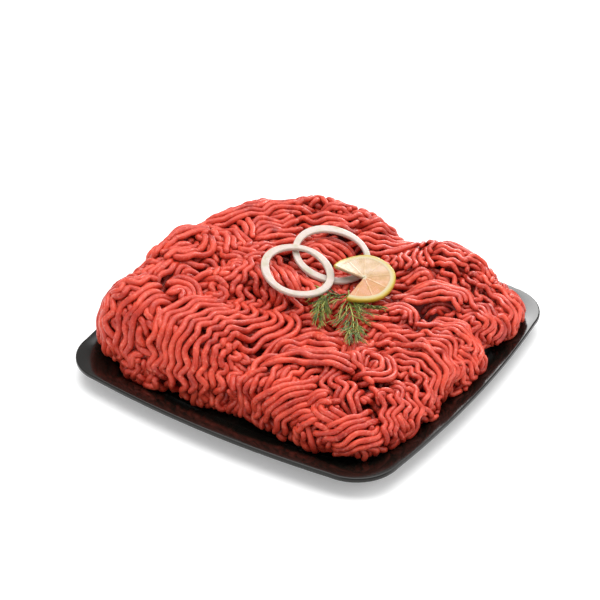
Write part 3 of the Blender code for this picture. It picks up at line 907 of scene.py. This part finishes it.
def black_melamine():
    """Moulded black melamine: near black and glossy, a little brown, with soft reflections from its flow."""
    made, tree, shader = new_material("black_melamine_moulded")
    place = add_node(tree, "ShaderNodeNewGeometry").outputs["Position"]
    flow = add_node(tree, "ShaderNodeTexNoise", {}, {"Vector": place, "Scale": 1 / (30 * MM), "Detail": 2.0})
    rough = add_node(
        tree, "ShaderNodeMapRange", {},
        {"Value": flow.outputs["Fac"], "To Min": 0.14, "To Max": 0.24},
    )
    set_inputs(tree, shader, {
        "Roughness": rough.outputs["Result"],
        "Base Color": tone("#110f0c"),
        "IOR": 1.36,
    })
    return made


def cut_onion():
    """Fresh cut onion: wet, glassy white flesh, whiter along its skins, with faint veins and a green cast."""
    made, tree, shader = new_material("white_onion_fresh_cut")
    place = add_node(tree, "ShaderNodeNewGeometry").outputs["Position"]
    across = add_node(tree, "ShaderNodeAttribute", {"attribute_name": "across"}).outputs["Fac"]
    cast = add_node(tree, "ShaderNodeTexNoise", {}, {"Vector": place, "Scale": 1 / (9 * MM), "Detail": 3.0})
    veins = add_node(
        tree, "ShaderNodeTexNoise", {},
        {"Vector": place, "Scale": 1 / (1.2 * MM), "Detail": 2.0},
    )
    flesh = add_node(tree, "ShaderNodeValToRGB", {}, {"Fac": cast.outputs["Fac"]})
    set_stops(flesh, [(0.3, "#aba38c"), (0.45, "#b9ada1"), (0.6, "#c1b1ab"), (0.75, "#b4a998")])
    edge = add_node(tree, "ShaderNodeMath", {"operation": "POWER"}, {0: across, 1: 6.0})
    skin = add_node(
        tree, "ShaderNodeMix", {"data_type": "RGBA"},
        {0: edge.outputs[0], 6: flesh.outputs["Color"], 7: tone("#c6bcb2")},
    )
    bump = add_node(
        tree, "ShaderNodeBump", {},
        {"Height": veins.outputs["Fac"], "Strength": 0.3, "Distance": 0.25 * MM},
    )
    set_inputs(tree, shader, {
        "Base Color": skin.outputs[2],
        "Roughness": 0.3,
        "IOR": 1.36,
        "Subsurface Weight": 0.5,
        "Subsurface Radius": (1.0, 0.85, 0.6),
        "Subsurface Scale": 3 * MM,
        "Normal": bump.outputs["Normal"],
    })
    return made


def cut_lemon():
    """Fresh cut lemon: waxy yellow rind, dry white pith, and wet flesh, with painted light: the meat's red
    seen through the lower part of the flesh.
    """
    made, tree, shader = new_material("lemon_fresh_cut")
    place = add_node(tree, "ShaderNodeNewGeometry").outputs["Position"]
    reach = add_node(tree, "ShaderNodeAttribute", {"attribute_name": "reach"}).outputs["Fac"]
    turn = add_node(tree, "ShaderNodeAttribute", {"attribute_name": "turn"}).outputs["Fac"]
    cells = add_node(
        tree, "ShaderNodeTexNoise", {},
        {"Vector": place, "Scale": 1 / (2.2 * MM), "Detail": 3.0},
    )
    patches = add_node(
        tree, "ShaderNodeTexNoise", {},
        {"Vector": place, "Scale": 1 / (8 * MM), "Detail": 2.0},
    )
    pale = add_node(tree, "ShaderNodeValToRGB", {}, {"Fac": patches.outputs["Fac"]})
    set_stops(pale, [(0.35, "#b19470"), (0.5, "#bca081"), (0.65, "#c2aa92")])
    # Painted light: the flesh in the lower part of the slice is painted darker and redder, for the meat's red
    # seen through it.
    red = add_node(tree, "ShaderNodeValToRGB", {}, {"Fac": patches.outputs["Fac"]})
    set_stops(red, [(0.35, "#ab7f42"), (0.5, "#b98456"), (0.65, "#be8b69")])
    painted_glow_part = add_node(
        tree, "ShaderNodeMapRange", {},
        {"Value": turn, "From Min": 0.26, "From Max": 0.62, "To Min": 1.0, "To Max": 0.0},
    )
    flesh = add_node(
        tree, "ShaderNodeMix", {"data_type": "RGBA"},
        {0: painted_glow_part.outputs["Result"], 6: pale.outputs["Color"], 7: red.outputs["Color"]},
    )
    sector = add_node(
        tree, "ShaderNodeMath", {"operation": "MULTIPLY"},
        {0: turn, 1: LEMON_SEGMENTS * (360 - LEMON_CUT) / 360},
    )
    sector = add_node(tree, "ShaderNodeMath", {"operation": "ADD"}, {0: sector.outputs[0], 1: 0.67})
    into = add_node(tree, "ShaderNodeMath", {"operation": "FRACT"}, {0: sector.outputs[0]})
    off = add_node(tree, "ShaderNodeMath", {"operation": "SUBTRACT"}, {0: into.outputs[0], 1: 0.5})
    off = add_node(tree, "ShaderNodeMath", {"operation": "ABSOLUTE"}, {0: off.outputs[0]})
    gap = add_node(tree, "ShaderNodeMath", {"operation": "SUBTRACT"}, {0: 0.5, 1: off.outputs[0]})
    gap = add_node(tree, "ShaderNodeMath", {"operation": "MULTIPLY"}, {0: gap.outputs[0], 1: reach})
    skins = add_node(
        tree, "ShaderNodeMapRange", {},
        {"Value": gap.outputs[0], "From Min": 0.003, "From Max": 0.018, "To Min": 1.0, "To Max": 0.0},
    )
    faint = add_node(
        tree, "ShaderNodeMapRange", {},
        {"Value": patches.outputs["Fac"], "From Min": 0.4, "From Max": 0.6},
    )
    seen = add_node(
        tree, "ShaderNodeMath", {"operation": "MULTIPLY"},
        {0: skins.outputs["Result"], 1: faint.outputs["Result"]},
    )
    walls = add_node(
        tree, "ShaderNodeMix", {"data_type": "RGBA"},
        {0: seen.outputs[0], 6: flesh.outputs[2], 7: tone("#c2ab8c")},
    )
    ring = add_node(tree, "ShaderNodeValToRGB", {}, {"Fac": reach})
    set_stops(ring, [(0.8, "#000000"), (0.84, "#ffffff")])
    pith = add_node(tree, "ShaderNodeValToRGB", {}, {"Fac": reach})
    set_stops(pith, [(0.82, "#b8ab8e"), (0.9, "#b5a678"), (0.95, "#b39e4a"), (0.99, "#b0922c")])
    whole = add_node(
        tree, "ShaderNodeMix", {"data_type": "RGBA"},
        {0: ring.outputs["Color"], 6: walls.outputs[2], 7: pith.outputs["Color"]},
    )
    core = add_node(tree, "ShaderNodeValToRGB", {}, {"Fac": reach})
    set_stops(core, [(0.06, "#ffffff"), (0.1, "#000000")])
    whole = add_node(
        tree, "ShaderNodeMix", {"data_type": "RGBA"},
        {0: core.outputs["Color"], 6: whole.outputs[2], 7: tone("#b9ae92")},
    )
    bump = add_node(
        tree, "ShaderNodeBump", {},
        {"Height": cells.outputs["Fac"], "Strength": 0.4, "Distance": 0.4 * MM},
    )
    set_inputs(tree, shader, {
        "Base Color": whole.outputs[2],
        "Roughness": 0.32,
        "IOR": 1.38,
        "Subsurface Weight": 0.4,
        "Subsurface Radius": (1.0, 0.7, 0.3),
        "Subsurface Scale": 2 * MM,
        "Normal": bump.outputs["Normal"],
    })
    return made


def fresh_dill():
    """Fresh dill: thin matt threads, dark green to yellow green, paler towards their tips."""
    made, tree, shader = new_material("dill_fresh")
    own = add_node(tree, "ShaderNodeAttribute", {"attribute_name": "tone"}).outputs["Fac"]
    colour = add_node(tree, "ShaderNodeValToRGB", {}, {"Fac": own})
    set_stops(colour, [(0.0, "#242e06"), (0.4, "#475913"), (0.75, "#78832e"), (1.0, "#b2ad5e")])
    set_inputs(tree, shader, {
        "Base Color": colour.outputs["Color"],
        "Roughness": 0.5,
        "Subsurface Weight": 0.15,
        "Subsurface Radius": (0.6, 1.0, 0.3),
        "Subsurface Scale": 0.5 * MM,
    })
    return made


# ---------------------------------------------------------------- pieces

def build_mince():
    """Lays the planned ribbons, then two layers under what is still bare, and settles them all."""
    mince = Mince()
    plan = planned_ribbons()
    sculpt(plan)
    for name, level, count, wave, wavelength, line in plan:
        lay(mince, line, max(0.0, 0.5 * level), count, wave, wavelength, rng_for(name))
    fill(mince, rng_for("outer"), depth=9.0, levels=(0.3, 0.8, 1.3), counts=(3, 7), lengths=(35, 70))
    fill(mince, rng_for("under"), depth=14.0, levels=(2, 3), counts=(5, 9), lengths=(45, 80))
    settle(mince)
    return mince


def strand_pieces(mince, finish):
    """All the strands, in as few meshes as their triangles allow, with painted shade: darker where they lie
    deeper.
    """
    chance = rng_for("strand sizes")
    lines, radii, shades = [], [], []
    for strand in mince.strands:
        line = softened(strand, 1, 0.3)
        lines.append(line)
        total = len(line) * STRAND_STEP
        wobble = 1 + 0.05 * smooth_noise(chance, len(line), 5, total) + 0.03 * chance.normal()
        radii.append(STRAND / 2 * np.clip(wobble, 0.85, 1.12) * girth_at(line))
        feet, outs = snap(line)
        under = rise_at(feet) - np.einsum("ij,ij->i", line - feet, outs) - STRAND / 2
        own = chance.normal(0, 0.05) + 0.08 * smooth_noise(chance, len(line), 9, total)
        # Painted shade: the tone drops the deeper the strand lies under the top of the mince.
        shades.append(own - PAINTED_DEPTH_SHADE * np.clip(under, 0, 12))
    size_of = [(len(line) + 2) * STRAND_SIDES * 2 for line in lines]
    pieces, start, used = [], 0, 0
    for index, size in enumerate(size_of + [10**9]):
        if used + size > MOST_TRIANGLES:
            name, rows = f"mince_strands_{len(pieces) + 1}", slice(start, index)
            pieces.append(tubes(name, lines[rows], radii[rows], shades[rows], STRAND_SIDES, finish))
            start, used = index, 0
        used += size
    return pieces


def mince_core(finish):
    """A smaller, rougher heap inside the strands."""
    chance = rng_for("core")
    shape = welded("mince_heap")
    bmesh.ops.recalc_face_normals(shape, faces=shape.faces)
    shape.normal_update()
    for vertex in shape.verts:
        vertex.co -= vertex.normal * (CORE_DROP + chance.uniform(-1, 1)) * MM
    mesh = bpy.data.meshes.new("mince_core")
    shape.to_mesh(mesh)
    shape.free()
    mesh.materials.clear()
    mesh.materials.append(finish)
    return in_scene("mince_core", mesh)


# ---------------------------------------------------------------- tray

TRAY_SIDE = 300
TRAY_HEIGHT = 19
TRAY_WALL = 4
SIDE_BOW = 6.8
LIP_CORNER = 38
FLOOR_CORNER = 30
FLARE_WIDTH = 34
FLARE_STEPS = 26
FLARE_CURVE = 1.5
LIP_ROUNDING = 1.8


def rounded_square(half, corner, bow, side_steps=28, corner_steps=14):
    """A square outline with round corners and sides that bow outwards."""
    straight = half - corner
    points = []
    for quarter in range(4):
        cos, sin = math.cos(math.radians(90 * quarter)), math.sin(math.radians(90 * quarter))
        side = [(half + bow * (1 - part**2), straight * part) for part in np.linspace(-1, 1, side_steps)[:-1]]
        bend = []
        for angle in np.linspace(0, math.pi / 2, corner_steps)[:-1]:
            bend.append((straight + corner * math.cos(angle), straight + corner * math.sin(angle)))
        for x, y in side + bend:
            points.append((x * cos - y * sin, x * sin + y * cos))
    return points


def square_tray(finish):
    """A shallow square dish, its bowed sides flaring to a rounded lip: an upper face, thickened downwards."""
    rings = []
    for part in np.linspace(1, 0, FLARE_STEPS + 1):
        half = TRAY_SIDE / 2 - FLARE_WIDTH * (1 - part)
        corner = FLOOR_CORNER + (LIP_CORNER - FLOOR_CORNER) * part
        height = TRAY_WALL + (TRAY_HEIGHT - TRAY_WALL) * math.sin(part * math.pi / 2) ** FLARE_CURVE
        outline = rounded_square(half, corner, SIDE_BOW * half / (TRAY_SIDE / 2))
        rings.append([(x * MM, y * MM, height * MM) for x, y in outline])
    count = len(rings[0])
    points = [point for ring in rings for point in ring]
    faces = []
    for ring in range(FLARE_STEPS):
        for step in range(count):
            corner, across = ring * count + step, ring * count + (step + 1) % count
            faces.append((corner, corner + count, across + count, across))
    faces.append(tuple(reversed(range(len(points) - count, len(points)))))
    mesh = bpy.data.meshes.new("square_tray")
    mesh.from_pydata(points, [], faces)
    obj = placed("square_tray", mesh, finish)
    thicken = obj.modifiers.new("thickness", "SOLIDIFY")
    thicken.thickness = TRAY_WALL * MM
    thicken.offset = 1
    thicken.use_even_offset = True
    soften = obj.modifiers.new("rounded lip", "BEVEL")
    soften.width = LIP_ROUNDING * MM
    soften.segments = 5
    soften.limit_method = "ANGLE"
    soften.angle_limit = math.radians(60)
    return made_solid(obj)


# ---------------------------------------------------------------- onion

ONION_STEPS = 168
ONION_SECTION = 20
ONION_HALF_WALL = 2.95


def ring_waves(chance, turns, tallest):
    """A value that wanders smoothly round a ring and meets itself, near -1 to 1."""
    total = np.zeros(len(turns))
    for wave in range(1, tallest + 1):
        total += chance.normal() / wave**0.7 * np.sin(wave * turns + chance.uniform(0, 2 * math.pi))
    return total / 1.6


def onion_ring(node, finish):
    """One layer of a cut onion: flat cut faces, a bowed outer wall, uneven all round."""
    chance = rng_for(node)
    solid = node_points(node)
    centre = solid.mean(axis=0)
    _, _, axes = np.linalg.svd(solid - centre, full_matrices=False)
    long_way, short_way, up = axes
    up = up * np.sign(up[2])
    reach = np.abs((solid - centre) @ axes.T).max(axis=0)
    turns = np.linspace(0, 2 * math.pi, ONION_STEPS, endpoint=False)
    half_wall = ONION_HALF_WALL * (1 + 0.2 * ring_waves(chance, turns, 5))
    half_height = (reach[2] - 0.25) * (1 + 0.07 * ring_waves(chance, turns, 6))
    inset = half_wall + 0.25 - 0.35 * ring_waves(chance, turns, 4)
    rise = 0.35 * ring_waves(chance, turns, 3)
    points, across = [], []
    for step, turn in enumerate(turns):
        outward = long_way * math.cos(turn) + short_way * math.sin(turn)
        middle = long_way * (reach[0] - inset[step]) * math.cos(turn)
        middle = middle + short_way * (reach[1] - inset[step]) * math.sin(turn)
        for corner in np.linspace(0, 2 * math.pi, ONION_SECTION, endpoint=False):
            wide = math.copysign(abs(math.cos(corner)) ** 0.55, math.cos(corner))
            tall = math.copysign(abs(math.sin(corner)) ** 0.35, math.sin(corner))
            lift = half_height[step] * tall + rise[step]
            point = centre + middle + outward * half_wall[step] * wide + up * lift
            points.append(point * MM)
            across.append(wide)
    faces = []
    for step in range(ONION_STEPS):
        after = (step + 1) % ONION_STEPS
        for corner in range(ONION_SECTION):
            beside = (corner + 1) % ONION_SECTION
            row, next_row = step * ONION_SECTION, after * ONION_SECTION
            faces.append((row + corner, next_row + corner, next_row + beside, row + beside))
    mesh = bpy.data.meshes.new(f"{node}_cut")
    mesh.from_pydata(points, [], faces)
    keep(mesh, "across", across)
    obj = placed(f"{node}_cut", mesh, finish)
    facing_out(obj)
    return obj


# ---------------------------------------------------------------- lemon

LEMON_RADIUS = 26
LEMON_THICKNESS = 4
LEMON_CUT = 70
LEMON_CUT_DIRECTION = 232
LEMON_LEAN = (-62, 14)
LEMON_SPOKES = 220
LEMON_RINGS = 44
LEMON_SEGMENTS = 9
RAISED_FLAP = (0.25, 0.3)
LOWERED_FLAP = (0.2, 0.08)


def lemon_profile(reach, turn):
    """How thick half of the slice is at a part of its radius, with the flesh sunk between its skins."""
    into = abs((turn * LEMON_SEGMENTS / (2 * math.pi)) % 1 - 0.5) * 2
    skin_gap = (1 - into) * 2 * math.pi * reach * LEMON_RADIUS / LEMON_SEGMENTS / 2
    half = LEMON_THICKNESS / 2
    if 0.1 < reach < 0.83:
        half -= 0.35 * min(1, skin_gap / 0.8) * min(1, (0.83 - reach) / 0.03) * min(1, (reach - 0.1) / 0.05)
        half += 0.12 * math.sin(turn * 70 + 9 * math.sin(reach * 21)) * min(1, skin_gap / 1.2)
    edge = max(0.0, (reach - 0.93) / 0.07)
    return half - 0.9 * edge**2.2


def lemon_slice(finish):
    """A round cut through to its middle, with one end of the cut curled up and the other sunk."""
    points, reaches, turns = [], [], []
    for side in (1, -1):
        for spoke in range(LEMON_SPOKES + 1):
            part = spoke / LEMON_SPOKES
            turn = math.radians(LEMON_CUT_DIRECTION + LEMON_CUT / 2 + (360 - LEMON_CUT) * part)
            curl = RAISED_FLAP[1] * max(0.0, 1 - (1 - part) / RAISED_FLAP[0]) ** 2
            curl -= LOWERED_FLAP[1] * max(0.0, 1 - part / LOWERED_FLAP[0]) ** 2
            outer = LEMON_RADIUS * (1 - 0.012 * (1 + math.sin(5 * turn + 1)))
            for ring in range(LEMON_RINGS + 1):
                reach = 0.02 + 0.98 * ring / LEMON_RINGS
                place = reach * outer
                height = place * curl + side * lemon_profile(reach, turn)
                points.append((place * math.cos(turn), place * math.sin(turn), height))
                reaches.append(reach)
                turns.append(part)
    row = LEMON_RINGS + 1
    other = (LEMON_SPOKES + 1) * row
    faces = []
    for spoke in range(LEMON_SPOKES):
        for ring in range(LEMON_RINGS):
            corner = spoke * row + ring
            faces.append((corner, corner + 1, corner + row + 1, corner + row))
            faces.append((other + corner, other + corner + row, other + corner + row + 1, other + corner + 1))
        rim = spoke * row + LEMON_RINGS
        eye = spoke * row
        faces.append((rim, other + rim, other + rim + row, rim + row))
        faces.append((eye, eye + row, other + eye + row, other + eye))
    for first in (0, LEMON_SPOKES * row):
        for ring in range(LEMON_RINGS):
            corner = first + ring
            faces.append((corner, other + corner, other + corner + 1, corner + 1))
    toward = Vector((math.cos(math.radians(LEMON_LEAN[0])), math.sin(math.radians(LEMON_LEAN[0])), 0))
    leaning = Matrix.Rotation(math.radians(LEMON_LEAN[1]), 3, Vector((0, 0, 1)).cross(toward))
    turned = np.array(points) @ np.array(leaning).T
    solid = node_points("lemon_slice")
    centre_now = (turned.max(axis=0) + turned.min(axis=0)) / 2
    turned += (solid.max(axis=0) + solid.min(axis=0)) / 2 - centre_now
    mesh = bpy.data.meshes.new("lemon_cut")
    mesh.from_pydata([tuple(point * MM) for point in turned], [], faces)
    keep(mesh, "reach", reaches)
    keep(mesh, "turn", turns)
    obj = placed("lemon_cut", mesh, finish)
    facing_out(obj)
    return obj


# ---------------------------------------------------------------- dill

DILL_ROOT = (22, 21)
DILL_LIFT = 0.9
DILL_SIDES = 5
LEMON_MIDDLE = (30.5, 31.6)
RING_END = (13, -14)


def along(points, part):
    """A place part of the way along a line of places, and the way the line runs there."""
    spot = part * (len(points) - 1)
    low = min(int(spot), len(points) - 2)
    way = points[low + 1] - points[low]
    return points[low] + way * (spot - low), math.atan2(way[1], way[0])


def way_of(angle):
    return np.array([math.cos(angle), math.sin(angle)])


def stalk_through(*places):
    """An even line on a smooth curve through places seen from above."""
    flat = np.array([(x, y, 0) for x, y in places], float)
    return even_steps(curve_through(flat, 3), 3)[:, :2]


def frond(stalk, first, count, splay, length, chance, threads):
    """Feathered leaves on both sides of a stalk, each a thread with finer threads on it."""
    for part in np.linspace(first, 0.97, count):
        foot, heading = along(stalk, part)
        for side in (-1, 1):
            angle = heading + side * math.radians(splay * chance.uniform(0.65, 1.25) * (1.15 - 0.6 * part))
            reach = length * (1.2 - 0.55 * part) * chance.uniform(0.7, 1.15)
            bend = math.radians(chance.uniform(-22, 6)) * side
            leaf = []
            for piece in np.linspace(0, 1, 7):
                turned = angle + bend * piece
                leaf.append(foot + reach * piece * way_of(turned))
            leaf = np.array(leaf)
            arch = chance.uniform(0.3, 3.2)
            base = chance.uniform(0.4, 2.6)
            threads.append((leaf, 0.52, arch, base))
            for twig in (0.35, 0.55, 0.75):
                start, way = along(leaf, twig)
                for hand in (-1, 1):
                    if chance.uniform() < 0.35:
                        continue
                    fine = way + hand * math.radians(chance.uniform(5, 19))
                    size = length * chance.uniform(0.35, 0.65) * (1.2 - 0.5 * twig)
                    ends = np.array([start + size * step * way_of(fine) for step in (0, 0.35, 0.7, 1)])
                    height = base + arch * math.sin(math.pi * twig)
                    threads.append((ends, 0.42, chance.uniform(0, 1.5), height))


def dill_sprig(finish):
    """Two feathered fronds and a thin branch from one stalk, lying loosely over the mince."""
    chance = rng_for("dill")
    main = stalk_through(DILL_ROOT, (33, 6), (46, -10), (58, -30))
    left = stalk_through((23, 15), (16, 7), (14, -4), (21, -22))
    branch = stalk_through((25, 15), (41, 8), (59, 11))
    threads = [(main, 0.8, 1.0, 0.6), (left, 0.75, 1.0, 0.6), (branch, 0.6, 0.5, 0.6)]
    frond(main, 0.1, 17, 38, 22, chance, threads)
    frond(left, 0.1, 17, 42, 14, chance, threads)
    frond(branch, 0.4, 5, 26, 8, chance, threads)
    lines, radii, shades = [], [], []
    for plan, radius, arch, base in threads:
        parts = np.linspace(0, 1, len(plan))
        heights = np.array([top_of(x, y)[2] for x, y in plan])
        rises = rise_at(np.column_stack([plan, heights]))
        heights = softened(heights + np.maximum(rises, -3), 3)
        clear = np.clip(np.linalg.norm(plan - LEMON_MIDDLE, axis=1) / LEMON_RADIUS - 0.98, 0, 0.15) / 0.15
        clear = clear * np.where(plan[:, 1] > RING_END[1], np.clip((plan[:, 0] - RING_END[0]) / 3, 0, 1), 1)
        heights = heights + 0.6 + clear * (DILL_LIFT + base + arch * np.sin(math.pi * parts * 0.8))
        lines.append(np.column_stack([plan, heights]))
        radii.append(radius * (1 - 0.55 * parts))
        shades.append(np.clip(chance.uniform(0, 0.8) + 0.45 * parts**2, 0, 1))
    return tubes("dill_threads", lines, radii, shades, DILL_SIDES, finish)


# ---------------------------------------------------------------- crumb

CRUMB_SIDES = 9


def stray_crumb(finish):
    """One broken end of a strand, fallen on the tray's flare."""
    spine = np.array([(140.5, -50.0, 0), (142.0, -49.0, 0), (143.5, -46.5, 0), (144.5, -44.0, 0)])
    spine[:, 2] = resting(spine)
    radii, tones = np.array([1.7, 2.3, 2.2, 1.6]), np.full(4, 0.1)
    return tubes("stray_crumb", [spine], [radii], [tones], CRUMB_SIDES, finish)


# ---------------------------------------------------------------- setting

def studio():
    """A plain white floor under soft light from all round, with a large softbox above."""
    floor_mesh = bpy.data.meshes.new("studio_floor")
    half = 4.0
    corners = [(-half, -half, 0), (half, -half, 0), (half, half, 0), (-half, half, 0)]
    floor_mesh.from_pydata(corners, [], [(0, 1, 2, 3)])
    floor = in_scene("studio_floor", floor_mesh)
    floor.location.z = -0.0002
    made, tree, shader = new_material("matt_white_board")
    set_inputs(tree, shader, {
        "Base Color": tone("#f4f4f4"),
        "Roughness": 0.9,
        "Emission Color": (1, 1, 1, 1),
        "Emission Strength": 0.17,
    })
    floor_mesh.materials.append(made)
    world = bpy.data.worlds.new("soft_studio")
    bpy.context.scene.world = world
    world.use_nodes = True
    world.node_tree.nodes["Background"].inputs["Color"].default_value = (1, 1, 1, 1)
    world.node_tree.nodes["Background"].inputs["Strength"].default_value = 0.62
    for name, place, size, power in (
        ("softbox_top", (-0.12, 0.24, 1.3), 1.6, 25.5),
        ("softbox_side", (1.2, 0.6, 0.7), 0.8, 6),
        ("softbox_front", (-0.3, -1.3, 0.6), 1.0, 4),
        ("softbox_gleam", (-0.02, 0.38, 0.21), 0.2, 1.2),
    ):
        lamp = bpy.data.lights.new(name, "AREA")
        lamp.size = size
        lamp.energy = power
        obj = in_scene(name, lamp)
        obj.location = place
        aim = Vector((0.14, 0.14, 0.02)) if name == "softbox_gleam" else Vector((0, 0, 0.03))
        obj.rotation_euler = (aim - Vector(place)).to_track_quat("-Z", "Y").to_euler()
        obj.visible_diffuse = name != "softbox_gleam"
        obj.visible_camera = False


def camera():
    """A long lens at the height and side that the heap's taller half falls away from."""
    azimuth, elevation, distance = math.radians(33.16), math.radians(34.0), 1.539
    target = Vector((-0.0361, 0.0371, 0.015))
    level = math.cos(elevation)
    back = Vector((math.sin(azimuth) * level, -math.cos(azimuth) * level, math.sin(elevation)))
    lens = bpy.data.cameras.new("camera")
    lens.lens = 107.9
    lens.sensor_width = 36
    obj = in_scene("camera", lens)
    obj.location = target + back * distance
    obj.rotation_euler = (math.pi / 2 - elevation, 0, azimuth)
    bpy.context.scene.camera = obj


def dress(piece, slot, *nodes):
    """The piece moves with the tray and stands for the CAD nodes; the slot is not used."""
    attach(piece, "root")
    if nodes:
        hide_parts(*nodes)


def main():
    camera()
    studio()
    bpy.context.scene.view_settings.view_transform = "Standard"
    meat = raw_mince()
    for piece in strand_pieces(build_mince(), meat):
        dress(piece, "meat", "mince_heap")
    dress(mince_core(painted_shade_core()), "meat", "mince_heap")
    dress(stray_crumb(meat), "meat")
    dress(square_tray(black_melamine()), "tray", "tray")
    onion = cut_onion()
    for node in ("onion_ring_back", "onion_ring_front"):
        dress(onion_ring(node, onion), "onion", node)
    dress(lemon_slice(cut_lemon()), "lemon", "lemon_slice")
    dress(dill_sprig(fresh_dill()), "dill", "dill_sprig")


main()
